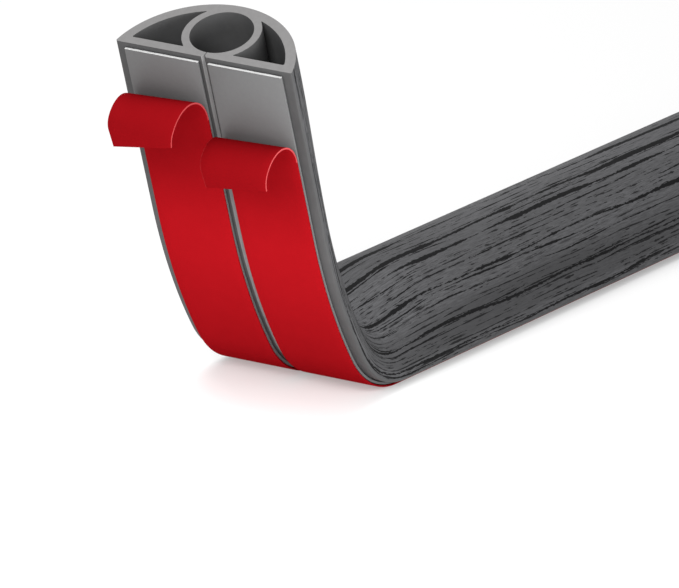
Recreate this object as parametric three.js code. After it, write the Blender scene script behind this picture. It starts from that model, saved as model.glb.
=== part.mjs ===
import * as THREE from "three";

// Floor cord cover: one flexible half-round extrusion with a round cord bore, two side pockets and a
// parting slit in its base, two adhesive strips under it, and a release liner on each strip.
// The cover lies along X on the floor. Its end at -X is bent up, and there both liners are peeled back.
// Millimetres, +Z up. The origin is on the floor, under the middle of the whole shape.

// Section of the cover
const COVER_WIDTH = 60;
const BORE_DIAMETER = 19.7;
const BORE_FLOOR = 2.3;
const BASE_WALL = 3;
const SHELL_WALL = 3.2;
const RING_WALL = 2.4;
const EDGE_ROUND = 0.8;
const POCKET_ROUND = 0.8;
const GROOVE_WIDTH = 1.6;
const GROOVE_DEPTH = 0.9;
const SLIT_WIDTH = 0.2;

// Run of the cover: stock length, then the bends from the floor up, each by its radius at the crown
const COVER_LENGTH = 1000;
const HEEL_CROWN_RADIUS = 13.7;
const HEEL_TURN = 48;
const RISE_CROWN_RADIUS = 165;
const RISE_TURN = 16;
const RAISED_LENGTH = 64;

// The bends press the hollow section flatter: by how much, from how far before them, and the length
// at the raised end that keeps its full height
const BEND_FLATTENING = 0.25;
const FLATTENING_LEAD = 40;
const FULL_HEIGHT_END = 8;

// Adhesive strips and release liners
const STRIP_EDGE_MARGIN = 3.3;
const STRIP_SPACING = 3.3;
const STRIP_END_MARGIN = 1.7;
const STRIP_THICKNESS = 0.8;
const LINER_THICKNESS = 0.5;
const LAYER_CLEARANCE = 0.3;
const LEFT_PEEL = 22.8;
const LEFT_LOOSE_LENGTH = 31.6;
const LEFT_CURL_RADIUS = 10.6;
const RIGHT_PEEL = 33;
const RIGHT_LOOSE_LENGTH = 28.4;
const RIGHT_CURL_RADIUS = 8.9;
const CURL_TURN = 128;
const CURL_TAPER = 0.3;
const HOOK_RADIUS = 5;
const HOOK_TURN = 58;

// Fineness of the curved faces
const CROWN_FACETS = 36;
const BORE_FACETS = 32;
const POCKET_FACETS = 9;
const ROUND_FACETS = 3;
const LEAD_FACETS = 5;
const HEEL_FACETS = 12;
const RISE_FACETS = 5;
const RAISED_FACETS = 7;
const CURL_FACETS = 20;
const FILM_FACETS = 4;

const radians = THREE.MathUtils.degToRad;

// Heights above the base, and the circle whose arc is the crown
const coverHeight = BORE_FLOOR + BORE_DIAMETER + SHELL_WALL;
const boreRadius = BORE_DIAMETER / 2;
const boreHeight = BORE_FLOOR + boreRadius;
const crownRadius = (COVER_WIDTH ** 2 / 4 + coverHeight ** 2) / (2 * coverHeight);
const crownHeight = coverHeight - crownRadius;

function arc(height, radius, from, to, facets) {
  const curve = new THREE.EllipseCurve(0, height, radius, radius, from, to, to < from);
  return curve.getPoints(facets);
}

function rounded(before, corner, after) {
  return new THREE.QuadraticBezierCurve(before, corner, after).getPoints(ROUND_FACETS);
}

function onCircle(height, radius, angle) {
  return new THREE.Vector2(radius * Math.cos(angle), height + radius * Math.sin(angle));
}

function point(across, up) {
  return new THREE.Vector2(across, up);
}

// One closed outline from its pieces, without the points that two pieces share
function outline(...pieces) {
  const points = [];
  for (const next of pieces.flat()) {
    const last = points[points.length - 1];
    if (!last || last.distanceTo(next) > 1e-6) {
      points.push(next);
    }
  }
  if (points[0].distanceTo(points[points.length - 1]) < 1e-6) {
    points.pop();
  }
  return points;
}

function mirrored(points) {
  return points.map((p) => point(-p.x, p.y)).reverse();
}

// Outer outline, with the bore joined to it through the slit and the groove
function coverOutline() {
  const halfWidth = COVER_WIDTH / 2;
  const edgeAngle = Math.asin(-crownHeight / crownRadius) + EDGE_ROUND / crownRadius;
  const slitAngle = Math.asin(SLIT_WIDTH / 2 / boreRadius);
  const rightEdge = rounded(
    point(halfWidth - EDGE_ROUND, 0),
    point(halfWidth, 0),
    onCircle(crownHeight, crownRadius, edgeAngle),
  );
  const crown = arc(crownHeight, crownRadius, edgeAngle, Math.PI - edgeAngle, CROWN_FACETS);
  const bore = arc(boreHeight, boreRadius, 1.5 * Math.PI - slitAngle, slitAngle - Math.PI / 2, BORE_FACETS);
  return outline(
    [point(GROOVE_WIDTH / 2, 0)],
    rightEdge,
    crown,
    mirrored(rightEdge),
    [point(-GROOVE_WIDTH / 2, 0), point(-SLIT_WIDTH / 2, GROOVE_DEPTH)],
    bore,
    [point(SLIT_WIDTH / 2, GROOVE_DEPTH)],
  );
}

// Pocket between the base wall, the crown wall and the wall around the bore
function pocketOutline() {
  const ringRadius = boreRadius + RING_WALL;
  const shellRadius = crownRadius - SHELL_WALL;
  const ringFoot = -Math.asin((boreHeight - BASE_WALL) / ringRadius);
  const shellFoot = Math.asin((BASE_WALL - crownHeight) / shellRadius);
  const apart = boreHeight - crownHeight;
  const meet = (apart ** 2 + shellRadius ** 2 - ringRadius ** 2) / (2 * apart);
  const shellTop = Math.asin(meet / shellRadius);
  const ringTop = Math.asin((meet - apart) / ringRadius);
  const onShell = POCKET_ROUND / shellRadius;
  const onRing = POCKET_ROUND / ringRadius;
  const inner = onCircle(boreHeight, ringRadius, ringFoot);
  const outer = onCircle(crownHeight, shellRadius, shellFoot);
  const top = onCircle(crownHeight, shellRadius, shellTop);
  return outline(
    rounded(
      point(outer.x - POCKET_ROUND, BASE_WALL),
      outer,
      onCircle(crownHeight, shellRadius, shellFoot + onShell),
    ),
    arc(crownHeight, shellRadius, shellFoot + onShell, shellTop - onShell, POCKET_FACETS),
    rounded(
      onCircle(crownHeight, shellRadius, shellTop - onShell),
      top,
      onCircle(boreHeight, ringRadius, ringTop - onRing),
    ),
    arc(boreHeight, ringRadius, ringTop - onRing, ringFoot + onRing, POCKET_FACETS),
    rounded(
      onCircle(boreHeight, ringRadius, ringFoot + onRing),
      inner,
      point(inner.x + POCKET_ROUND, BASE_WALL),
    ),
  );
}

// A run is a list of legs, each an arc or a straight piece: its length and the angle it turns through.
// Its slope is the angle up from the floor, and a place on it is its x, z and slope. Past its last leg
// it goes straight on.
function placeOn(start, legs, distance) {
  let { x, z, slope } = start;
  let left = distance;
  for (const leg of [...legs, { length: Infinity, turn: 0 }]) {
    const length = Math.min(left, leg.length);
    const turn = leg.turn === 0 ? 0 : (leg.turn * length) / leg.length;
    const chord = turn === 0 ? length : ((2 * length) / turn) * Math.sin(turn / 2);
    x -= chord * Math.cos(slope + turn / 2);
    z += chord * Math.sin(slope + turn / 2);
    slope += turn;
    left -= length;
  }
  return { x, z, slope };
}

// Distances along the cover from one stop to another, with those between them at each leg's facets
function stopsBetween(from, to) {
  const stops = [from];
  let base = 0;
  for (const leg of run) {
    for (let i = 1; i <= leg.facets; i += 1) {
      const stop = base + (leg.length * i) / leg.facets;
      if (stop > from + 0.01 && stop < to - 0.01) {
        stops.push(stop);
      }
    }
    base += leg.length;
  }
  stops.push(to);
  return stops;
}

function straight(length, facets) {
  return { length, turn: 0, facets };
}

function bend(radius, turn, facets) {
  return { length: radius * radians(Math.abs(turn)), turn: radians(turn), facets };
}

// The share of its height above the base wall that the section keeps at a distance along the cover
function heightShare(distance) {
  const lead = flat.length;
  const heelMiddle = lead + FLATTENING_LEAD + heel.length / 2;
  const raisedStart = COVER_LENGTH - RAISED_LENGTH;
  const pressed = THREE.MathUtils.smoothstep(distance, lead, heelMiddle);
  const recovered = THREE.MathUtils.smoothstep(distance, raisedStart, COVER_LENGTH - FULL_HEIGHT_END);
  return 1 - BEND_FLATTENING * pressed * (1 - recovered);
}

// A point of the run that lies across, up from the base and ahead along the slope
function onRun(distance, across, up, ahead = 0) {
  const place = placeOn(farEnd, run, distance);
  const x = place.x + up * Math.sin(place.slope) - ahead * Math.cos(place.slope);
  const z = place.z + up * Math.cos(place.slope) + ahead * Math.sin(place.slope);
  return [x, -across, z];
}

function coverPoint(distance, across, up) {
  const above = Math.max(0, up - BASE_WALL);
  return onRun(distance, across, up - above + above * heightShare(distance));
}

// A point of a liner, whose film leaves the strip at the peel line and rolls away from it. The roll
// is a little wider at one edge of the film than at the other.
function linerPoint(distance, across, up, roll) {
  const share = 1 + (CURL_TAPER * (across - roll.middle)) / roll.width;
  const past = Math.max(0, distance - roll.peelDistance);
  const rolled = placeOn({ x: 0, z: 0, slope: 0 }, roll.legs, past / share);
  const ahead = -rolled.x * share - past - up * Math.sin(rolled.slope);
  const height = rolled.z * share + up * Math.cos(rolled.slope) - linerDepth;
  return onRun(distance, across, height, ahead);
}

// Sweeps a flat section along its stops. pointAt gives the place of each point of the section there.
function sweep(points, holes, stops, pointAt) {
  const shape = new THREE.Shape(points);
  shape.holes = holes.map((hole) => new THREE.Path(hole));
  const last = stops.length - 1;
  const geometry = new THREE.ExtrudeGeometry(shape, { depth: last, steps: last, bevelEnabled: false });
  const position = geometry.getAttribute("position");
  for (let i = 0; i < position.count; i += 1) {
    const distance = stops[Math.round(position.getZ(i))];
    position.setXYZ(i, ...pointAt(distance, position.getX(i), position.getY(i)));
  }
  geometry.computeVertexNormals();
  return geometry;
}

// A rectangle, with its low and high sides in as many parts
function band(inner, outer, low, high, parts) {
  const share = (i) => inner + ((outer - inner) * i) / parts;
  const lower = Array.from({ length: parts + 1 }, (_, i) => point(share(i), low));
  const upper = Array.from({ length: parts + 1 }, (_, i) => point(share(parts - i), high));
  return [...lower, ...upper];
}

function piece(name, geometry, colour, roughness) {
  const material = new THREE.MeshStandardMaterial({ color: colour, roughness, metalness: 0 });
  const mesh = new THREE.Mesh(geometry, material);
  mesh.name = name;
  return mesh;
}

// The run of the cover's underside, from the far end to the raised end
const heel = bend(HEEL_CROWN_RADIUS + coverHeight, HEEL_TURN, HEEL_FACETS);
const rise = bend(RISE_CROWN_RADIUS + coverHeight, RISE_TURN, RISE_FACETS);
const raised = straight(RAISED_LENGTH, RAISED_FACETS);
const lead = straight(FLATTENING_LEAD, LEAD_FACETS);
const flat = straight(COVER_LENGTH - lead.length - heel.length - rise.length - raised.length, 1);
const run = [flat, lead, heel, rise, raised];
const farEnd = { x: flat.length + lead.length, z: 0, slope: 0 };

const linerDepth = 2 * LAYER_CLEARANCE + STRIP_THICKNESS + LINER_THICKNESS / 2;

const cover = new THREE.Group();

const pocket = pocketOutline();
const body = sweep(coverOutline(), [pocket, mirrored(pocket)], stopsBetween(0, COVER_LENGTH), coverPoint);
cover.add(piece("cover_body", body, 0x58585a, 0.6));

// The strips and liners keep clear of the side edges and of the centre groove
const bandInner = STRIP_SPACING / 2;
const bandOuter = COVER_WIDTH / 2 - STRIP_EDGE_MARGIN;
const leftRoll = { peel: LEFT_PEEL, loose: LEFT_LOOSE_LENGTH, radius: LEFT_CURL_RADIUS };
const rightRoll = { peel: RIGHT_PEEL, loose: RIGHT_LOOSE_LENGTH, radius: RIGHT_CURL_RADIUS };
const sides = [
  { name: "left", inner: -bandOuter, outer: -bandInner, ...leftRoll },
  { name: "right", inner: bandInner, outer: bandOuter, ...rightRoll },
];

for (const { name, inner, outer, peel, loose, radius } of sides) {
  const stripSection = band(inner, outer, -LAYER_CLEARANCE - STRIP_THICKNESS, -LAYER_CLEARANCE, 1);
  const stripStops = stopsBetween(STRIP_END_MARGIN, COVER_LENGTH - STRIP_END_MARGIN);
  const strip = sweep(stripSection, [], stripStops, onRun);
  cover.add(piece("adhesive_strip_" + name, strip, 0x7a7878, 0.5));

  // The liner lies on the strip up to the peel line, then curls, and its end is rolled in tighter
  const peelDistance = COVER_LENGTH - peel;
  const linerStops = stopsBetween(STRIP_END_MARGIN, peelDistance);
  for (let i = 1; i <= CURL_FACETS; i += 1) {
    linerStops.push(peelDistance + (loose * i) / CURL_FACETS);
  }
  const curl = bend(radius, -CURL_TURN);
  const hook = bend(HOOK_RADIUS, -HOOK_TURN);
  const roll = { middle: (inner + outer) / 2, width: outer - inner, peelDistance, legs: [curl, hook] };
  const linerSection = band(inner, outer, -LINER_THICKNESS / 2, LINER_THICKNESS / 2, FILM_FACETS);
  const linerAt = (distance, across, up) => linerPoint(distance, across, up, roll);
  const liner = sweep(linerSection, [], linerStops, linerAt);
  cover.add(piece("release_liner_" + name, liner, 0xc8171f, 0.35));
}

// The whole shape stands on the floor with its middle over the origin
const extent = new THREE.Box3().setFromObject(cover);
const middlePoint = extent.getCenter(new THREE.Vector3());
cover.position.set(-middlePoint.x, -middlePoint.y, -extent.min.z);
cover.updateMatrixWorld(true);

export default cover;
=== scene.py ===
import math

import bmesh
import bpy
from mathutils import Matrix, Vector


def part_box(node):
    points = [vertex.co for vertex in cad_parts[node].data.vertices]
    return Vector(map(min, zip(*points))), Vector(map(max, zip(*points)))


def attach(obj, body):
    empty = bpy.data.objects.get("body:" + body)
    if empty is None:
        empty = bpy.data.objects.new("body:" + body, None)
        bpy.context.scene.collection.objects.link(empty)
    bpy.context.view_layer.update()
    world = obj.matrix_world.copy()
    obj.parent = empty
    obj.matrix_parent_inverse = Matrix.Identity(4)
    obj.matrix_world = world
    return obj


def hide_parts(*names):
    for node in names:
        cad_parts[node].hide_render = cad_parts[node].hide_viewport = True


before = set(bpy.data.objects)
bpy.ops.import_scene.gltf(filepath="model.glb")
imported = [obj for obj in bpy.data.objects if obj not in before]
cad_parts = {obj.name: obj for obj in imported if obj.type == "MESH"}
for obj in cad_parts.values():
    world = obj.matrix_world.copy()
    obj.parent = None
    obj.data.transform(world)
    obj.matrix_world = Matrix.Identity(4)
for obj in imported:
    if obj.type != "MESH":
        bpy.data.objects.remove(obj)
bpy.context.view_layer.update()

# Everything is in metres. The run of the cover starts at its far end, on the floor, and ends at
# the raised end. In a section, across is to the side of the run and up is away from the base.

# Section of the cover
COVER_WIDTH = 0.060
BORE_DIAMETER = 0.0197
BORE_FLOOR = 0.0023
BASE_WALL = 0.003
SHELL_WALL = 0.0032
RING_WALL = 0.0024
EDGE_ROUND = 0.0008
POCKET_ROUND = 0.0008
GROOVE_WIDTH = 0.0016
GROOVE_DEPTH = 0.0009
SLIT_WIDTH = 0.0002
PLAIN_LIP = 0.0007

# Run of the cover
COVER_LENGTH = 1.0
HEEL_CROWN_RADIUS = 0.0137
HEEL_TURN = math.radians(48)
RISE_CROWN_RADIUS = 0.165
RISE_TURN = math.radians(16)
RAISED_LENGTH = 0.064

# The bends press the hollow section flatter
BEND_FLATTENING = 0.25
FLATTENING_LEAD = 0.040
FULL_HEIGHT_END = 0.008

# Adhesive strips and release liners
STRIP_EDGE_MARGIN = 0.0033
STRIP_SPACING = 0.0033
STRIP_END_MARGIN = 0.0017
STRIP_THICKNESS = 0.0008
LINER_THICKNESS = 0.0005
LAYER_CLEARANCE = 0.0003
ROLLS = {
    "left": {"peel": 0.0228, "loose": 0.0316, "radius": 0.0106},
    "right": {"peel": 0.033, "loose": 0.0284, "radius": 0.0089},
}
CURL_TURN = math.radians(128)
CURL_TAPER = 0.3
HOOK_RADIUS = 0.005
HOOK_TURN = math.radians(58)
STRIP_CORNER = 0.00012
FILM_CORNER = 0.00006

# Facets of the curves in a section, and steps along the run
CROWN_FACETS = 80
BORE_FACETS = 56
POCKET_FACETS = 14
ROUND_FACETS = 5
CORNER_FACETS = 2
FILM_FACETS = 8
COVER_STEP = 0.003
LINER_STEP = 0.0008
SMOOTH_BELOW = math.radians(32)

# Points nearer to a line or to each other than this count as one
SAME_PLACE = 1e-6
SAME_POINT = 1e-8

COVER_HEIGHT = BORE_FLOOR + BORE_DIAMETER + SHELL_WALL
BORE_RADIUS = BORE_DIAMETER / 2
BORE_HEIGHT = BORE_FLOOR + BORE_RADIUS
CROWN_RADIUS = (COVER_WIDTH ** 2 / 4 + COVER_HEIGHT ** 2) / (2 * COVER_HEIGHT)
CROWN_HEIGHT = COVER_HEIGHT - CROWN_RADIUS
HEEL_LENGTH = (HEEL_CROWN_RADIUS + COVER_HEIGHT) * HEEL_TURN
RISE_LENGTH = (RISE_CROWN_RADIUS + COVER_HEIGHT) * RISE_TURN
FLAT_LENGTH = COVER_LENGTH - HEEL_LENGTH - RISE_LENGTH - RAISED_LENGTH
FAR_END_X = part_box("cover_body")[1][0]
BASE_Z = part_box("cover_body")[0][2]


# Camera and light

IMAGE_WIDTH = 679
IMAGE_HEIGHT = 588
FOCAL_PIXELS = 12000.0
PIXELS_PER_METRE = 3260.0
VIEW_TURN = math.radians(27.38)
VIEW_DROP = math.radians(15.53)
VIEW_ROLL = math.radians(3.3)
HEEL_START_PIXEL = (319.82, 362.48)
SENSOR_WIDTH_MM = 36
NEAR_LIMIT = 0.1
FAR_LIMIT = 50

# Places and targets of the lamps are from the start of the heel, and power is in watts
LAMPS = {
    "overhead": {
        "place": (0.3, 0.6, 1.6), "target": (0, 0, 0.05), "size": (1.2, 1.2), "power": 20,
    },
    "left_front": {
        "place": (-0.9, -0.15, 0.5), "target": (-0.04, 0, 0.05), "size": (0.5, 0.5), "power": 5,
    },
    "heel_fill": {
        "place": (-0.1, 0, 0.044), "target": (-0.055, 0, 0), "size": (0.12, 0.03), "power": 0.03,
    },
    "floor_fill": {
        "place": (-0.13, -0.16, 0.1), "target": (-0.04, 0, 0), "size": (0.1, 0.1), "power": 0.26,
    },
}
WHITE = (1, 1, 1, 1)
WORLD_STRENGTH = 0.48

FLOOR_HALF_WIDTH = 6.0
FLOOR_COLOUR = (0.59, 0.59, 0.59, 1)
FLOOR_GLOW = 0.325
FLOOR_ROUGHNESS = 0.9
FLOOR_SPECULAR = 0.1


def new_object(name, data):
    made = bpy.data.objects.new(name, data)
    bpy.context.scene.collection.objects.link(made)
    return made


def place_camera():
    """Aims the camera so that the point where the cover leaves the floor falls on its pixel."""
    level = Vector((math.cos(VIEW_TURN), math.sin(VIEW_TURN), 0))
    side = Vector((math.sin(VIEW_TURN), -math.cos(VIEW_TURN), 0))
    ahead = math.cos(VIEW_DROP) * level - math.sin(VIEW_DROP) * Vector((0, 0, 1))
    above = math.sin(VIEW_DROP) * level + math.cos(VIEW_DROP) * Vector((0, 0, 1))
    right = math.cos(VIEW_ROLL) * side + math.sin(VIEW_ROLL) * above
    up = math.cos(VIEW_ROLL) * above - math.sin(VIEW_ROLL) * side
    reach = FOCAL_PIXELS / PIXELS_PER_METRE
    across = (HEEL_START_PIXEL[0] - IMAGE_WIDTH / 2) / FOCAL_PIXELS * reach
    down = (HEEL_START_PIXEL[1] - IMAGE_HEIGHT / 2) / FOCAL_PIXELS * reach
    heel_start = Vector((FAR_END_X - FLAT_LENGTH, 0, BASE_Z))
    place = heel_start - reach * ahead - across * right + down * up
    data = bpy.data.cameras.new("view")
    data.sensor_fit = "HORIZONTAL"
    data.sensor_width = SENSOR_WIDTH_MM
    data.lens = FOCAL_PIXELS * SENSOR_WIDTH_MM / IMAGE_WIDTH
    data.clip_start = NEAR_LIMIT
    data.clip_end = FAR_LIMIT
    camera = new_object("view", data)
    axes = Matrix((right, up, -ahead)).transposed()
    camera.matrix_world = Matrix.Translation(place) @ axes.to_4x4()
    bpy.context.scene.camera = camera


def soft_light(name, place, target, size, power):
    """A soft lamp that lights the scene but isn't seen in it."""
    heel_start = Vector((FAR_END_X - FLAT_LENGTH, 0, 0))
    data = bpy.data.lights.new(name, "AREA")
    data.shape = "RECTANGLE"
    data.size, data.size_y = size
    data.energy = power
    lamp = new_object(name, data)
    lamp.visible_camera = False
    aim = (Vector(target) - Vector(place)).to_track_quat("-Z", "Y").to_matrix()
    lamp.matrix_world = Matrix.Translation(heel_start + Vector(place)) @ aim.to_4x4()


def light_studio():
    world = bpy.data.worlds.new("studio")
    world.use_nodes = True
    background = world.node_tree.nodes["Background"]
    background.inputs["Color"].default_value = WHITE
    background.inputs["Strength"].default_value = WORLD_STRENGTH
    bpy.context.scene.world = world
    for name, values in LAMPS.items():
        soft_light(name, **values)
    bpy.context.scene.view_settings.view_transform = "Standard"
    bpy.context.scene.view_settings.look = "None"


# Node building

def nodes_for(tree):
    """Returns a function that adds a node.

    It takes the node's values by input name or number, and its settings by name."""
    def add(kind, inputs=None, **settings):
        node = tree.nodes.new(kind)
        for name, value in settings.items():
            setattr(node, name, value)
        for key, value in (inputs or {}).items():
            socket = node.inputs[key]
            if isinstance(value, bpy.types.NodeSocket):
                tree.links.new(value, socket)
            else:
                socket.default_value = value
        return node
    return add


def new_tree(name, kind, inputs, outputs):
    """A node tree with named inputs (name, socket type, value) and outputs (name, socket type)."""
    tree = bpy.data.node_groups.new(name, kind)
    for label, socket, value in inputs:
        made = tree.interface.new_socket(label, in_out="INPUT", socket_type=socket)
        if value is not None:
            made.default_value = value
    for label, socket in outputs:
        tree.interface.new_socket(label, in_out="OUTPUT", socket_type=socket)
    return tree


def number_inputs(values):
    return [(label, "NodeSocketFloat", value) for label, value in values.items()]


def number_outputs(*labels):
    return [(label, "NodeSocketFloat") for label in labels]


def maths(add, operation, *values):
    return add("ShaderNodeMath", dict(enumerate(values)), operation=operation).outputs[0]


def plus(add, first, second):
    return maths(add, "ADD", first, second)


def minus(add, first, second):
    return maths(add, "SUBTRACT", first, second)


def times(add, first, second):
    return maths(add, "MULTIPLY", first, second)


def over(add, first, second):
    return maths(add, "DIVIDE", first, second)


def times_plus(add, first, second, third):
    return maths(add, "MULTIPLY_ADD", first, second, third)


def larger(add, first, second):
    return maths(add, "MAXIMUM", first, second)


def smaller(add, first, second):
    return maths(add, "MINIMUM", first, second)


def smooth_step(add, value, low, high):
    """Eases from 0 at the low value to 1 at the high one."""
    return add("ShaderNodeMapRange", {
        "Value": value, "From Min": low, "From Max": high, "To Min": 0.0, "To Max": 1.0,
    }, interpolation_type="SMOOTHSTEP").outputs[0]


def point(add, x, y, z):
    return add("ShaderNodeCombineXYZ", {"X": x, "Y": y, "Z": z}).outputs[0]


def parts_of(add, vector):
    return add("ShaderNodeSeparateXYZ", {0: vector}).outputs


def store(add, shape, name, value, kind="FLOAT"):
    """Keeps a value with the points of a shape."""
    return add(
        "GeometryNodeStoreNamedAttribute", {"Geometry": shape, "Name": name, "Value": value},
        data_type=kind, domain="POINT",
    ).outputs["Geometry"]


def stored(add, name, kind="FLOAT"):
    node = add("GeometryNodeInputNamedAttribute", {"Name": name}, data_type=kind)
    return node.outputs["Attribute"]


def with_finish(add, shape, finish_socket, chosen=True):
    return add("GeometryNodeSetMaterial", {
        "Geometry": shape, "Selection": chosen, "Material": finish_socket,
    }).outputs[0]


def together(add, *parts):
    join = add("GeometryNodeJoinGeometry")
    for part in parts:
        join.id_data.links.new(part, join.inputs[0])
    return join.outputs[0]


# Shape: one outline swept along the run

# Points of a section that carry a mark give the faces between them a finish of their own
MARKS = {"Crown": 1.0, "Edge": 10.0, "Inside": 20.0}
MARK_TOLERANCE = 0.01

PLACE_ON_RUN = ("Distance Left", "X", "Z", "Slope")
PAST_THE_END = 10.0
NEARLY_STRAIGHT = 1e-7


def leg_tree():
    """One leg of a run, an arc or a straight: moves a place on by as much of the leg as is left."""
    inputs = number_inputs({label: 0.0 for label in (*PLACE_ON_RUN, "Length", "Turn")})
    tree = new_tree("leg of the run", "GeometryNodeTree", inputs, number_outputs(*PLACE_ON_RUN))
    add = nodes_for(tree)
    given = add("NodeGroupInput").outputs
    length = smaller(add, given["Distance Left"], given["Length"])
    turn = times(add, given["Turn"], over(add, length, given["Length"]))
    half = times(add, turn, 0.5)
    straight = maths(add, "LESS_THAN", maths(add, "ABSOLUTE", half), NEARLY_STRAIGHT)
    chord_share = plus(add, over(add, maths(add, "SINE", half), half), straight)
    chord = times(add, length, smaller(add, chord_share, 1.0))
    middle = plus(add, given["Slope"], half)
    add("NodeGroupOutput", {
        "Distance Left": minus(add, given["Distance Left"], length),
        "X": minus(add, given["X"], times(add, chord, maths(add, "COSINE", middle))),
        "Z": plus(add, given["Z"], times(add, chord, maths(add, "SINE", middle))),
        "Slope": plus(add, given["Slope"], turn),
    })
    return tree


def follow(add, legs, place, turns):
    """Places a point on a run of legs, each given by its length and turn, and then straight on."""
    for length, turn in turns + [(PAST_THE_END, 0.0)]:
        values = dict(place, Length=length, Turn=turn)
        reached = add("GeometryNodeGroup", values, node_tree=legs).outputs
        place = {label: reached[label] for label in PLACE_ON_RUN}
    return place


def sweep_walls(add, given):
    """Sweeps the outline along a rail as long as the piece. Gives the walls and the section."""
    # The section's own places go along as values, so its turn on the rail doesn't matter
    section = add("GeometryNodeMeshToCurve", {"Mesh": given["Outline"]}).outputs["Curve"]
    across_up = add("GeometryNodeInputPosition").outputs[0]
    section = store(add, section, "section_place", across_up, "FLOAT_VECTOR")

    length = minus(add, given["End"], given["Start"])
    count = plus(add, maths(add, "CEIL", over(add, length, given["Step"])), 1.0)
    line = add("GeometryNodeCurvePrimitiveLine", {"End": (1.0, 0.0, 0.0)}, mode="POINTS")
    rail = add("GeometryNodeResampleCurve", {
        "Curve": line.outputs["Curve"], "Count": count,
    }, mode="COUNT").outputs["Curve"]
    share = add("GeometryNodeSplineParameter").outputs["Factor"]
    rail = store(add, rail, "distance", times_plus(add, share, length, given["Start"]))

    walls = add("GeometryNodeCurveToMesh", {"Curve": rail, "Profile Curve": section})
    walls = with_finish(add, walls.outputs["Mesh"], given["Plain Finish"])
    mark, reached = stored(add, "mark"), stored(add, "distance")
    for label, value in MARKS.items():
        marked = maths(add, "COMPARE", mark, value, MARK_TOLERANCE)
        started = maths(add, "GREATER_THAN", reached, given[label + " From"])
        walls = with_finish(add, walls, given[label + " Finish"], times(add, marked, started))
    return walls, section


def cut_faces(add, given, section):
    """Fills the section, once for each end of the piece."""
    face = add("GeometryNodeFillCurve", {"Curve": section}, mode="TRIANGLES").outputs["Mesh"]
    across_up = add("GeometryNodeInputPosition").outputs[0]
    face = store(add, face, "section_place", across_up, "FLOAT_VECTOR")
    ends = [store(add, face, "distance", given[end]) for end in ("Start", "End")]
    return with_finish(add, together(add, *ends), given["End Finish"])


def pressed_height(add, given, distance, up):
    """Presses what lies above the base wall lower on the bends."""
    heel_middle = times_plus(add, given["Heel Length"], 0.5, given["Flat Length"])
    lead_start = minus(add, given["Flat Length"], given["Flattening Lead"])
    pressed = smooth_step(add, distance, lead_start, heel_middle)
    recovered = smooth_step(add, distance, given["Raised From"], given["Full Height From"])
    kept = times(add, pressed, minus(add, 1.0, recovered))
    above = larger(add, minus(add, up, given["Base Wall"]), 0.0)
    lost = times(add, times(add, above, kept), given["Flattening"])
    return minus(add, minus(add, up, lost), given["Film Depth"])


def rolled_film(add, given, legs, distance, across, up, height):
    """Rolls the film away past the peel line, wider at one edge than at the other.

    Gives how far a point comes ahead of its place on the run, and its new height."""
    aside = over(add, minus(add, across, given["Film Middle"]), given["Film Width"])
    share = times_plus(add, aside, given["Curl Taper"], 1.0)
    past = larger(add, minus(add, distance, given["Peel From"]), 0.0)
    turned = []
    for leg in ("Curl", "Hook"):
        length = times(add, given[leg + " Radius"], given[leg + " Turn"])
        turned.append((length, times(add, given[leg + " Turn"], -1.0)))
    start = {"Distance Left": over(add, past, share), "X": 0.0, "Z": 0.0, "Slope": 0.0}
    roll = follow(add, legs, start, turned)
    ahead = minus(add, times(add, roll["X"], times(add, share, -1.0)), past)
    ahead = minus(add, ahead, times(add, up, maths(add, "SINE", roll["Slope"])))
    sunk = times(add, up, minus(add, maths(add, "COSINE", roll["Slope"]), 1.0))
    return ahead, plus(add, times_plus(add, roll["Z"], share, height), sunk)


def place_on_run(add, given, legs, distance, across, height, ahead):
    """Finds the place on the run, leg by leg, and then goes across, up and ahead from it."""
    start = {
        "Distance Left": distance, "X": given["Far End X"], "Z": given["Far End Z"], "Slope": 0.0,
    }
    turns = [(given["Flat Length"], 0.0)]
    turns += [(given[leg + " Length"], given[leg + " Turn"]) for leg in ("Heel", "Rise")]
    place = follow(add, legs, start, turns)
    sine, cosine = maths(add, "SINE", place["Slope"]), maths(add, "COSINE", place["Slope"])
    forward, upward = times(add, ahead, cosine), times(add, ahead, sine)
    return point(
        add,
        minus(add, times_plus(add, height, sine, place["X"]), forward),
        times(add, across, -1.0),
        plus(add, times_plus(add, height, cosine, place["Z"]), upward),
    )


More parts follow.
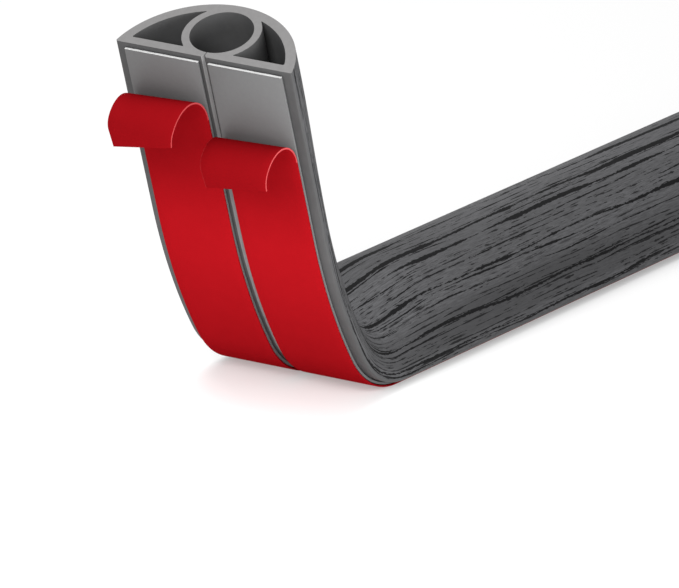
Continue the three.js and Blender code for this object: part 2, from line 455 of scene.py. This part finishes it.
def run_tree():
    """Sweeps a flat outline along the run, closes both ends and sets the finishes."""
    numbers = {
        "Start": 0.0, "End": COVER_LENGTH, "Step": COVER_STEP,
        "Far End X": FAR_END_X, "Far End Z": BASE_Z, "Flat Length": FLAT_LENGTH,
        "Heel Length": HEEL_LENGTH, "Heel Turn": HEEL_TURN,
        "Rise Length": RISE_LENGTH, "Rise Turn": RISE_TURN,
        "Base Wall": BASE_WALL, "Flattening": BEND_FLATTENING,
        "Flattening Lead": FLATTENING_LEAD, "Raised From": COVER_LENGTH - RAISED_LENGTH,
        "Full Height From": COVER_LENGTH - FULL_HEIGHT_END,
        "Film Depth": 0.0, "Film Middle": 0.0, "Film Width": 1.0, "Peel From": PAST_THE_END,
        "Curl Radius": HOOK_RADIUS, "Curl Turn": CURL_TURN, "Curl Taper": CURL_TAPER,
        "Hook Radius": HOOK_RADIUS, "Hook Turn": HOOK_TURN,
    }
    numbers.update({label + " From": 0.0 for label in MARKS})
    inputs = [("Outline", "NodeSocketGeometry", None)] + number_inputs(numbers)
    for label in ("Plain", "End", *MARKS):
        inputs.append((label + " Finish", "NodeSocketMaterial", None))
    outputs = [("Geometry", "NodeSocketGeometry")]
    tree = new_tree("swept along the run", "GeometryNodeTree", inputs, outputs)
    add = nodes_for(tree)
    given = add("NodeGroupInput").outputs

    walls, section = sweep_walls(add, given)
    shape = together(add, walls, cut_faces(add, given, section))
    distance = stored(add, "distance")
    section_place = parts_of(add, stored(add, "section_place", "FLOAT_VECTOR"))
    across, up = section_place["X"], section_place["Y"]

    legs = leg_tree()
    height = pressed_height(add, given, distance, up)
    ahead, height = rolled_film(add, given, legs, distance, across, up, height)
    bent = place_on_run(add, given, legs, distance, across, height, ahead)
    shape = add("GeometryNodeSetPosition", {"Geometry": shape, "Position": bent}).outputs[0]
    shape = add("GeometryNodeMergeByDistance", {
        "Geometry": shape, "Distance": SAME_PLACE,
    }).outputs[0]
    shape = store(add, shape, "unbent", point(add, distance, across, up), "FLOAT_VECTOR")
    shape = add("GeometryNodeRealizeInstances", {"Geometry": shape}).outputs[0]
    add("NodeGroupOutput", {"Geometry": shape})
    return tree


def swept(name, tree, loops, mark_of, values):
    """Makes one piece from the closed loops of its section."""
    mesh = bpy.data.meshes.new(name)
    points, edges = [], []
    for loop in loops:
        first = len(points)
        points += [(across, up, 0.0) for across, up in loop]
        edges += [(first + i, first + (i + 1) % len(loop)) for i in range(len(loop))]
    mesh.from_pydata(points, edges, [])
    marks = [mark_of(across, up) for across, up, _ in points]
    mesh.attributes.new("mark", "FLOAT", "POINT").data.foreach_set("value", marks)
    outline = new_object(name + "_outline", mesh)
    modifier = outline.modifiers.new("sweep", "NODES")
    modifier.node_group = tree
    for item in tree.interface.items_tree:
        if item.in_out == "INPUT" and item.name in values:
            modifier[item.identifier] = values[item.name]
    bpy.context.view_layer.update()
    shown = outline.evaluated_get(bpy.context.evaluated_depsgraph_get())
    made = bpy.data.meshes.new_from_object(shown)
    bpy.data.objects.remove(outline)
    made.name = name
    face_outwards(made)
    return new_object(name, made)


def face_outwards(mesh):
    shape = bmesh.new()
    shape.from_mesh(mesh)
    bmesh.ops.recalc_face_normals(shape, faces=shape.faces)
    for face in shape.faces:
        face.smooth = True
    shape.to_mesh(mesh)
    shape.free()
    mesh.set_sharp_from_angle(angle=SMOOTH_BELOW)


def on_circle(height, radius, angle):
    return (radius * math.cos(angle), height + radius * math.sin(angle))


def arc(height, radius, start, end, count):
    turn = end - start
    return [on_circle(height, radius, start + turn * i / count) for i in range(count + 1)]


def rounded(before, corner, after, count=ROUND_FACETS):
    points = []
    for i in range(count + 1):
        t = i / count
        shares = ((1 - t) ** 2, 2 * t * (1 - t), t * t)
        ways = list(zip(shares, (before, corner, after)))
        points.append(tuple(sum(share * place[k] for share, place in ways) for k in (0, 1)))
    return points


def joined(*pieces):
    """One closed loop of the pieces' points, each place once."""
    points = []
    for place in [p for piece in pieces for p in piece]:
        if not points or math.dist(points[-1], place) > SAME_POINT:
            points.append(place)
    if math.dist(points[0], points[-1]) < SAME_POINT:
        points.pop()
    return points


def mirrored(points):
    return [(-across, up) for across, up in reversed(points)]


def towards(start, end, distance):
    share = distance / math.dist(start, end)
    return tuple(start[k] + (end[k] - start[k]) * share for k in (0, 1))


def cover_outline():
    """The outside of the cover, and through the groove and the slit the round bore."""
    half = COVER_WIDTH / 2
    edge = math.asin(-CROWN_HEIGHT / CROWN_RADIUS) + EDGE_ROUND / CROWN_RADIUS
    slit = math.asin(SLIT_WIDTH / 2 / BORE_RADIUS)
    crown = arc(CROWN_HEIGHT, CROWN_RADIUS, edge, math.pi - edge, CROWN_FACETS)
    side = rounded((half - EDGE_ROUND, 0.0), (half, 0.0), crown[0])
    bore = arc(
        BORE_HEIGHT, BORE_RADIUS, 1.5 * math.pi - slit, slit - math.pi / 2, BORE_FACETS,
    )
    return joined(
        [(GROOVE_WIDTH / 2, 0.0)], side, crown, mirrored(side),
        [(-GROOVE_WIDTH / 2, 0.0), (-SLIT_WIDTH / 2, GROOVE_DEPTH)],
        bore, [(SLIT_WIDTH / 2, GROOVE_DEPTH)],
    )


def pocket_outline():
    """The pocket between the bore's ring, the shell and the base wall."""
    ring = BORE_RADIUS + RING_WALL
    shell = CROWN_RADIUS - SHELL_WALL
    ring_foot = -math.asin((BORE_HEIGHT - BASE_WALL) / ring)
    shell_foot = math.asin((BASE_WALL - CROWN_HEIGHT) / shell)
    apart = BORE_HEIGHT - CROWN_HEIGHT
    meet = (apart ** 2 + shell ** 2 - ring ** 2) / (2 * apart)
    shell_top = math.asin(meet / shell)
    ring_top = math.asin((meet - apart) / ring)
    shell_cut, ring_cut = POCKET_ROUND / shell, POCKET_ROUND / ring
    outer_wall = arc(
        CROWN_HEIGHT, shell, shell_foot + shell_cut, shell_top - shell_cut, POCKET_FACETS,
    )
    inner_wall = arc(
        BORE_HEIGHT, ring, ring_top - ring_cut, ring_foot + ring_cut, POCKET_FACETS,
    )
    outer = on_circle(CROWN_HEIGHT, shell, shell_foot)
    inner = on_circle(BORE_HEIGHT, ring, ring_foot)
    top = on_circle(CROWN_HEIGHT, shell, shell_top)
    return joined(
        rounded((outer[0] - POCKET_ROUND, BASE_WALL), outer, outer_wall[0]), outer_wall,
        rounded(outer_wall[-1], top, inner_wall[0]), inner_wall,
        rounded(inner_wall[-1], inner, (inner[0] + POCKET_ROUND, BASE_WALL)),
    )


def band_outline(inner, outer, low, high, corner, parts=1):
    """A thin rectangle with eased corners, its long sides in as many parts."""
    corners = [(inner, low), (outer, low), (outer, high), (inner, high)]
    points = []
    for i, place in enumerate(corners):
        before, after = corners[i - 1], corners[(i + 1) % 4]
        entry, leave = towards(place, before, corner), towards(place, after, corner)
        points.append(rounded(entry, place, leave, CORNER_FACETS))
        if i % 2 == 0:
            side = math.dist(place, after)
            points.append([towards(place, after, side * j / parts) for j in range(1, parts)])
    return joined(*points)


# Finishes

# A colour is red, green and blue. A noise goes from its darker to its paler colour between these
# two values.
NOISE_SPAN = (0.3, 0.7)

# Plain finishes: material, darker and paler colour, roughness, speckles a metre, relief, specular
PLAIN_FINISHES = {
    "plain": ("plain_cover", (0.064, 0.064, 0.065), (0.069, 0.069, 0.070), 0.5, 300, 1e-5, 0.2),
    # The bore and pockets get a paler copy of the plain plastic: painted fill light that lifts
    # their shade.
    "inside": ("inside_painted_fill_light", (0.096, 0.096, 0.097), (0.104, 0.104, 0.105), 0.5, 300, 1e-5, 0.2),
    # The groove is given a pale grey: a painted highlight standing in for its lit flank.
    "groove": ("groove_painted_highlight", (0.24, 0.24, 0.24), (0.26, 0.26, 0.26), 0.5, 300, 1e-5, 0.2),
    "cut": ("cut_end", (0.203, 0.199, 0.199), (0.219, 0.215, 0.215), 0.6, 500, 1e-5, 0.1),
    "tape": ("adhesive_face", (0.144, 0.145, 0.146), (0.149, 0.150, 0.151), 0.5, 700, 4e-6, 0.1),
    # The ends of the strips are near white: a painted highlight where their ends catch the light.
    "tape_end_highlight": ("adhesive_end_painted_highlight", (0.75, 0.75, 0.75), (0.85, 0.85, 0.85), 0.6, 700, 1e-5, 0.5),
    "film": ("liner_film", (0.268, 0.0043, 0.0071), (0.276, 0.0045, 0.0074), 0.38, 120, 2e-6, 0.0),
    # The film's edges past the peel line and its ends are a paler red: a painted highlight along
    # the curls.
    "film_edge_highlight": ("liner_edge_painted_highlight", (0.48, 0.055, 0.060), (0.50, 0.060, 0.065), 0.5, 120, 2e-6, 0.1),
}
PLAIN_BUMP = 0.5

# The grained crown
DARK_FIBRE = (0.064, 0.064, 0.067)
PALE_FIBRE = (0.130, 0.130, 0.136)
DARK_TONE = (0.053, 0.053, 0.055)
LIP_COLOUR = (0.030, 0.030, 0.030)
VEIN_COLOUR = (0.009, 0.009, 0.0095)
TONE_STRENGTH = 0.8
LIP_BLUR = 1e-4
CROWN_ROUGHNESS = 0.5
VEINS_ROUGHER = 0.2
CROWN_SPECULAR = 0.06
CROWN_BUMP = 0.6
CROWN_RELIEF = 0.00012
FIBRE_RELIEF = 0.25

# Each kind of vein lies in rows round the crown. wood_grain_tree works out a value that is None.
VEIN_LABELS = (
    "Spacing", "Width", "Stretch", "Cover", "Wander", "Wander Stretch", "Ragged", "Seed",
)
VEIN_ROWS = {
    "bold": (0.0095, None, 0.05, 0.72, 0.0022, 0.06, 0.0012, 3.37),
    "thin": (0.0048, None, 0.03, None, 0.0018, 0.05, 0.0005, 11.2),
    "dashes": (0.0015, 0.0007, 0.0055, None, 0.0012, 0.05, 0.0002, 23.9),
    "longer dashes": (0.0020, 0.0008, 0.0085, None, 0.0012, 0.06, 0.0002, 41.6),
    "close": (0.0021, 0.0007, 0.016, 0.6, 0.0015, 0.06, 0.0003, 57.3),
}
VEIN_WIDTH = 0.0023
DASH_COVER = 0.5
DASH_STRENGTH = 0.85

# Width and cover of the veins on the top, and how much more they have on the front side
BOLD_WIDTH = {"top": 1.0, "front": -0.55}
THIN_WIDTH = {"top": 0.38, "front": -0.12}
THIN_COVER = {"top": 0.56, "front": 0.14}

# Within its row, a vein lies between a fifth and four fifths of the way across. Some three rows
# wander together, and each has its own gaps, where the swell is less than BARE_BELOW allows.
ROW_START = 0.2
ROW_SPREAD = 0.6
ROWS_TOGETHER = 3.0
ROW_SHIFT = 7.31
BARE_BELOW = 0.72
VEIN_SWELL = 4.0
VEIN_EDGE = (-0.00002, 0.00006)

# Distances round the crown from its top: where the veins change to those of the front side, and
# where the dark zone of the front side fades in and out
FRONT_SIDE = (0.018, 0.029)
ZONE_START = (0.022, 0.030)
ZONE_END = (0.0405, 0.037)
ZONE_LEAST = 0.5
TONE_ELSEWHERE = 0.4

# Noise: features a metre along the run, round the crown and in depth, the values between which
# it fades in, and its detail
CLUSTERS = {"scale": (17.0, 110.0, 1.0), "span": (0.49, 0.54), "detail": 2.0}
OTHER_CLUSTERS = {"scale": (12.0, 90.0, 7.0), "span": (0.48, 0.54), "detail": 2.0}
BROAD_TONE = {"scale": (7.0, 55.0, 1.0), "span": (0.35, 0.65), "detail": 1.0}
FIBRE = {"scale": (160.0, 2200.0, 1.0), "detail": 4.0, "roughness": 0.75}
TATTER = {"scale": (420.0, 3600.0, 1.0), "detail": 1.0}
ROUGH_NOISE = {"Detail": 3.0, "Roughness": 0.6}
WANDER_DETAIL = 1.5
PORES_DETAIL = 2.0
PORES_FINER = 6.0

# The colour inputs of a mix node by number
FIRST_COLOUR = 6
SECOND_COLOUR = 7


def unbent_place(add):
    """Where a point lay before the bend: along the run, across and up."""
    node = add("ShaderNodeAttribute", attribute_name="unbent", attribute_type="GEOMETRY")
    return node.outputs["Vector"]


def place_tree():
    """Where a point lay before the bend: along the run, and round the crown from its top."""
    inputs = number_inputs({"Crown Radius": CROWN_RADIUS, "Crown Height": CROWN_HEIGHT})
    outputs = number_outputs("Round") + [("Place", "NodeSocketVector")]
    tree = new_tree("place on the crown", "ShaderNodeTree", inputs, outputs)
    add = nodes_for(tree)
    given = add("NodeGroupInput").outputs
    split = parts_of(add, unbent_place(add))
    rise = minus(add, split["Z"], given["Crown Height"])
    angle = maths(add, "ARCTAN2", split["Y"], rise)
    girth = times(add, angle, given["Crown Radius"])
    add("NodeGroupOutput", {"Round": girth, "Place": point(add, split["X"], girth, 0.0)})
    return tree


def noise(add, vector, scale, detail, roughness=0.5):
    """Noise with a scale of its own along the run, round the crown and in depth."""
    mapped = add("ShaderNodeMapping", {"Vector": vector, "Scale": scale}).outputs[0]
    return add("ShaderNodeTexNoise", {
        "Vector": mapped, "Scale": 1.0, "Detail": detail, "Roughness": roughness,
    }).outputs[0]


def patches(add, vector, scale, span, detail):
    return smooth_step(add, noise(add, vector, scale, detail), *span)


def mix(add, factor, first, second):
    """Goes from the first colour to the second as the factor goes from 0 to 1."""
    ways = [c if isinstance(c, bpy.types.NodeSocket) else (*c, 1) for c in (first, second)]
    values = {0: factor, FIRST_COLOUR: ways[0], SECOND_COLOUR: ways[1]}
    return add("ShaderNodeMix", values, data_type="RGBA").outputs[2]


def vein_tree():
    """Rows of dark veins of uneven width along the run, each row with its gaps and offset."""
    inputs = [("Place", "NodeSocketVector", None)]
    inputs += number_inputs(dict(zip(VEIN_LABELS, VEIN_ROWS["close"])))
    tree = new_tree("vein rows", "ShaderNodeTree", inputs, number_outputs("Mask"))
    add = nodes_for(tree)
    given = add("NodeGroupInput").outputs
    split = parts_of(add, given["Place"])
    along, girth = split["X"], split["Y"]

    drift = point(
        add, over(add, along, given["Wander Stretch"]),
        over(add, girth, times(add, given["Spacing"], ROWS_TOGETHER)), given["Seed"],
    )
    wander = add("ShaderNodeTexNoise", {
        "Vector": drift, "Scale": 1.0, "Detail": WANDER_DETAIL,
    }).outputs[0]
    bent = times_plus(add, minus(add, wander, 0.5), times(add, given["Wander"], 2.0), girth)
    rows = plus(add, over(add, bent, given["Spacing"]), given["Seed"])
    row = maths(add, "FLOOR", rows)
    offset = add("ShaderNodeTexWhiteNoise", {"W": row}, noise_dimensions="1D").outputs["Value"]
    middle = times_plus(add, offset, ROW_SPREAD, ROW_START)
    inner = minus(add, maths(add, "FRACT", rows), middle)
    away = times(add, maths(add, "ABSOLUTE", inner), given["Spacing"])

    swell_at = point(
        add, over(add, along, given["Stretch"]), times(add, row, ROW_SHIFT), given["Seed"],
    )
    swell = add("ShaderNodeTexNoise", dict(ROUGH_NOISE, Vector=swell_at, Scale=1.0)).outputs[0]
    part = minus(add, swell, minus(add, BARE_BELOW, times(add, given["Cover"], 0.5)))
    thick = times(add, smaller(add, times(add, part, VEIN_SWELL), 1.0), given["Width"])
    tatter = noise(add, given["Place"], **TATTER)
    edge = times_plus(add, minus(add, tatter, 0.5), given["Ragged"], away)
    mask = smooth_step(add, minus(add, times(add, thick, 0.5), edge), *VEIN_EDGE)
    add("NodeGroupOutput", {"Mask": mask})
    return tree


def wood_grain_tree(veins):
    """Printed and embossed wood grain: veins, clusters of short dashes, fibre and broad tone."""
    inputs = [("Place", "NodeSocketVector", None)]
    inputs += number_inputs({"Vein Width": VEIN_WIDTH, "Dash Cover": DASH_COVER})
    outputs = number_outputs("Streaks", "Fibre", "Tone")
    tree = new_tree("wood grain", "ShaderNodeTree", inputs, outputs)
    add = nodes_for(tree)
    given = add("NodeGroupInput").outputs
    place = given["Place"]

    def changing(values):
        return times_plus(add, front, values["front"], values["top"])

    def rows(kind, **changed):
        values = dict(zip(VEIN_LABELS, VEIN_ROWS[kind]), Place=place)
        values.update(changed)
        return add("ShaderNodeGroup", values, node_tree=veins).outputs["Mask"]

    # The front side has slimmer and closer veins than the top, and a darker zone
    girth = parts_of(add, place)["Y"]
    front = smooth_step(add, girth, *FRONT_SIDE)
    bold = rows("bold", Width=times(add, given["Vein Width"], changing(BOLD_WIDTH)))
    slim = times(add, given["Vein Width"], changing(THIN_WIDTH))
    thin = rows("thin", Width=slim, Cover=changing(THIN_COVER))
    dashes = rows("dashes", Cover=given["Dash Cover"])
    longer = rows("longer dashes", Cover=given["Dash Cover"])
    strokes = larger(
        add, times(add, dashes, patches(add, place, **CLUSTERS)),
        times(add, longer, patches(add, place, **OTHER_CLUSTERS)),
    )
    strokes = larger(add, strokes, times(add, rows("close"), front))
    streaks = larger(add, larger(add, bold, thin), times(add, strokes, DASH_STRENGTH))
    fibre = noise(add, place, **FIBRE)
    tone = patches(add, place, **BROAD_TONE)
    zone = times(add, smooth_step(add, girth, *ZONE_START), smooth_step(add, girth, *ZONE_END))
    dark_zone = times(add, zone, times_plus(add, tone, 1 - ZONE_LEAST, ZONE_LEAST))
    tone = larger(add, times(add, tone, TONE_ELSEWHERE), dark_zone)
    add("NodeGroupOutput", {"Streaks": streaks, "Fibre": fibre, "Tone": tone})
    return tree


def speckle_tree():
    """Fine mottle and pores of moulded plastic, tape and film."""
    inputs = [("Place", "NodeSocketVector", None)] + number_inputs({"Scale": 1.0})
    tree = new_tree("fine speckle", "ShaderNodeTree", inputs, number_outputs("Mottle", "Pores"))
    add = nodes_for(tree)
    given = add("NodeGroupInput").outputs
    values = dict(ROUGH_NOISE, Vector=given["Place"], Scale=given["Scale"])
    mottle = add("ShaderNodeTexNoise", values).outputs[0]
    finer = times(add, given["Scale"], PORES_FINER)
    pores = add("ShaderNodeTexNoise", {
        "Vector": given["Place"], "Scale": finer, "Detail": PORES_DETAIL,
    }).outputs[0]
    add("NodeGroupOutput", {"Mottle": mottle, "Pores": pores})
    return tree


def finish(name, roughness, specular):
    """A material with one Principled shader, and the function that adds its nodes."""
    material = bpy.data.materials.new(name)
    material.use_nodes = True
    shader = material.node_tree.nodes["Principled BSDF"]
    shader.inputs["Roughness"].default_value = roughness
    shader.inputs["Specular IOR Level"].default_value = specular
    return material, shader, nodes_for(material.node_tree)


def give_relief(add, shader, strength, distance, height):
    values = {"Strength": strength, "Distance": distance, "Height": height}
    bump = add("ShaderNodeBump", values).outputs[0]
    shader.id_data.links.new(bump, shader.inputs["Normal"])


def grained_crown(groups):
    """The printed and embossed top, with a plain lip along both edges."""
    material, shader, add = finish("grained_crown", CROWN_ROUGHNESS, CROWN_SPECULAR)
    link = material.node_tree.links.new
    crown = add("ShaderNodeGroup", node_tree=groups["place"]).outputs
    grain = add("ShaderNodeGroup", {"Place": crown["Place"]}, node_tree=groups["grain"]).outputs
    half_girth = CROWN_RADIUS * (math.pi / 2 - math.asin(-CROWN_HEIGHT / CROWN_RADIUS))
    lip = half_girth - PLAIN_LIP
    girth = maths(add, "ABSOLUTE", crown["Round"])
    printed = smooth_step(add, girth, lip + LIP_BLUR, lip - LIP_BLUR)
    streaks = times(add, grain["Streaks"], printed)
    base = mix(add, smooth_step(add, grain["Fibre"], *NOISE_SPAN), DARK_FIBRE, PALE_FIBRE)
    base = mix(add, times(add, grain["Tone"], TONE_STRENGTH), base, DARK_TONE)
    base = mix(add, printed, LIP_COLOUR, base)
    link(mix(add, streaks, base, VEIN_COLOUR), shader.inputs["Base Color"])
    link(times_plus(add, streaks, VEINS_ROUGHER, CROWN_ROUGHNESS), shader.inputs["Roughness"])
    height = minus(add, times(add, grain["Fibre"], FIBRE_RELIEF), streaks)
    give_relief(add, shader, CROWN_BUMP, CROWN_RELIEF, height)
    return material


def plain_finish(groups, name, dark, pale, roughness, scale, relief, specular):
    """A mottled plain finish, from its darker to its paler colour."""
    material, shader, add = finish(name, roughness, specular)
    speckle = add("ShaderNodeGroup", {
        "Place": unbent_place(add), "Scale": scale,
    }, node_tree=groups["speckle"]).outputs
    mottle = smooth_step(add, speckle["Mottle"], *NOISE_SPAN)
    material.node_tree.links.new(mix(add, mottle, dark, pale), shader.inputs["Base Color"])
    give_relief(add, shader, PLAIN_BUMP, relief, speckle["Pores"])
    return material


def make_finishes():
    groups = {
        "place": place_tree(), "grain": wood_grain_tree(vein_tree()), "speckle": speckle_tree(),
    }
    made = {"crown": grained_crown(groups)}
    for part, values in PLAIN_FINISHES.items():
        made[part] = plain_finish(groups, *values)
    return made


# Pieces

def add_piece(name, node, tree, loops, mark_of, values):
    piece = swept(name, tree, loops, mark_of, values)
    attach(piece, "root")
    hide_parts(node)


def cover_mark(across, up):
    """Marks the points of the crown, of the bore and pockets (given a painted fill light), and of
    the groove in the base (given a painted highlight).
    """
    from_crown_middle = math.hypot(across, up - CROWN_HEIGHT)
    if abs(from_crown_middle - CROWN_RADIUS) < SAME_PLACE and up > 0:
        return MARKS["Crown"]
    in_shell = from_crown_middle < CROWN_RADIUS - SHELL_WALL + SAME_PLACE
    if up > BORE_FLOOR - SAME_PLACE and in_shell:
        return MARKS["Inside"]
    in_groove = abs(across) < GROOVE_WIDTH / 2 + SAME_PLACE and up < GROOVE_DEPTH + SAME_PLACE
    return MARKS["Edge"] if in_groove else 0.0


def build_cover(tree, finishes):
    pocket = pocket_outline()
    loops = [cover_outline(), pocket, mirrored(pocket)]
    values = {
        "Plain Finish": finishes["plain"], "Crown Finish": finishes["crown"],
        # The groove's finish is a painted highlight.
        "End Finish": finishes["cut"], "Edge Finish": finishes["groove"],
        # The inside finish is painted fill light in the bore and pockets.
        "Inside Finish": finishes["inside"],
    }
    add_piece("cover", "cover_body", tree, loops, cover_mark, values)


def tape_edges(name):
    """The two long edges of a strip or film, as places across the cover."""
    inner, outer = STRIP_SPACING / 2, COVER_WIDTH / 2 - STRIP_EDGE_MARGIN
    return (-outer, -inner) if name == "left" else (inner, outer)


def build_strip(name, tree, finishes):
    top = -LAYER_CLEARANCE
    strip = band_outline(*tape_edges(name), top - STRIP_THICKNESS, top, STRIP_CORNER)
    values = {
        "Start": STRIP_END_MARGIN, "End": COVER_LENGTH - STRIP_END_MARGIN,
        "Plain Finish": finishes["tape"], "Edge Finish": finishes["tape"],
        # The strip's ends get a painted highlight.
        "End Finish": finishes["tape_end_highlight"],
    }
    add_piece(
        "tape_" + name, "adhesive_strip_" + name, tree, [strip],
        lambda across, up: 0.0, values,
    )


def build_liner(name, roll, tree, finishes):
    """One film, flat under its strip up to the peel line and rolled up past it, with a painted
    highlight on its edges past the peel line and on its ends.
    """
    first, last = tape_edges(name)
    middle, half = (first + last) / 2, (last - first) / 2
    thick = LINER_THICKNESS / 2
    film = band_outline(first, last, -thick, thick, FILM_CORNER, FILM_FACETS)
    peel_line = COVER_LENGTH - roll["peel"]

    def film_mark(across, up):
        on_edge = abs(across - middle) > half - FILM_CORNER - SAME_PLACE
        return MARKS["Edge"] if on_edge else 0.0

    values = {
        # The edges get the paler red, a painted highlight, only past the peel line.
        "Start": STRIP_END_MARGIN, "End": peel_line + roll["loose"], "Step": LINER_STEP,
        "Film Depth": 2 * LAYER_CLEARANCE + STRIP_THICKNESS + thick,
        "Film Middle": middle, "Film Width": 2 * half,
        "Peel From": peel_line, "Edge From": peel_line, "Curl Radius": roll["radius"],
        "Plain Finish": finishes["film"], "Edge Finish": finishes["film_edge_highlight"],
        "End Finish": finishes["film_edge_highlight"],
    }
    add_piece(
        "liner_" + name, "release_liner_" + name, tree, [film], film_mark, values,
    )


def build_tape(tree, finishes):
    for name, roll in ROLLS.items():
        build_strip(name, tree, finishes)
        build_liner(name, roll, tree, finishes)


def lay_floor():
    mesh = bpy.data.meshes.new("floor")
    half = FLOOR_HALF_WIDTH
    corners = [(-half, -half, 0), (half, -half, 0), (half, half, 0), (-half, half, 0)]
    mesh.from_pydata(corners, [], [(0, 1, 2, 3)])
    floor = new_object("floor", mesh)
    material, shader, _ = finish("pale_floor", FLOOR_ROUGHNESS, FLOOR_SPECULAR)
    shader.inputs["Base Color"].default_value = FLOOR_COLOUR
    shader.inputs["Emission Color"].default_value = WHITE
    shader.inputs["Emission Strength"].default_value = FLOOR_GLOW
    mesh.materials.append(material)


place_camera()
light_studio()
finishes = make_finishes()
tree = run_tree()
build_cover(tree, finishes)
build_tape(tree, finishes)
lay_floor()
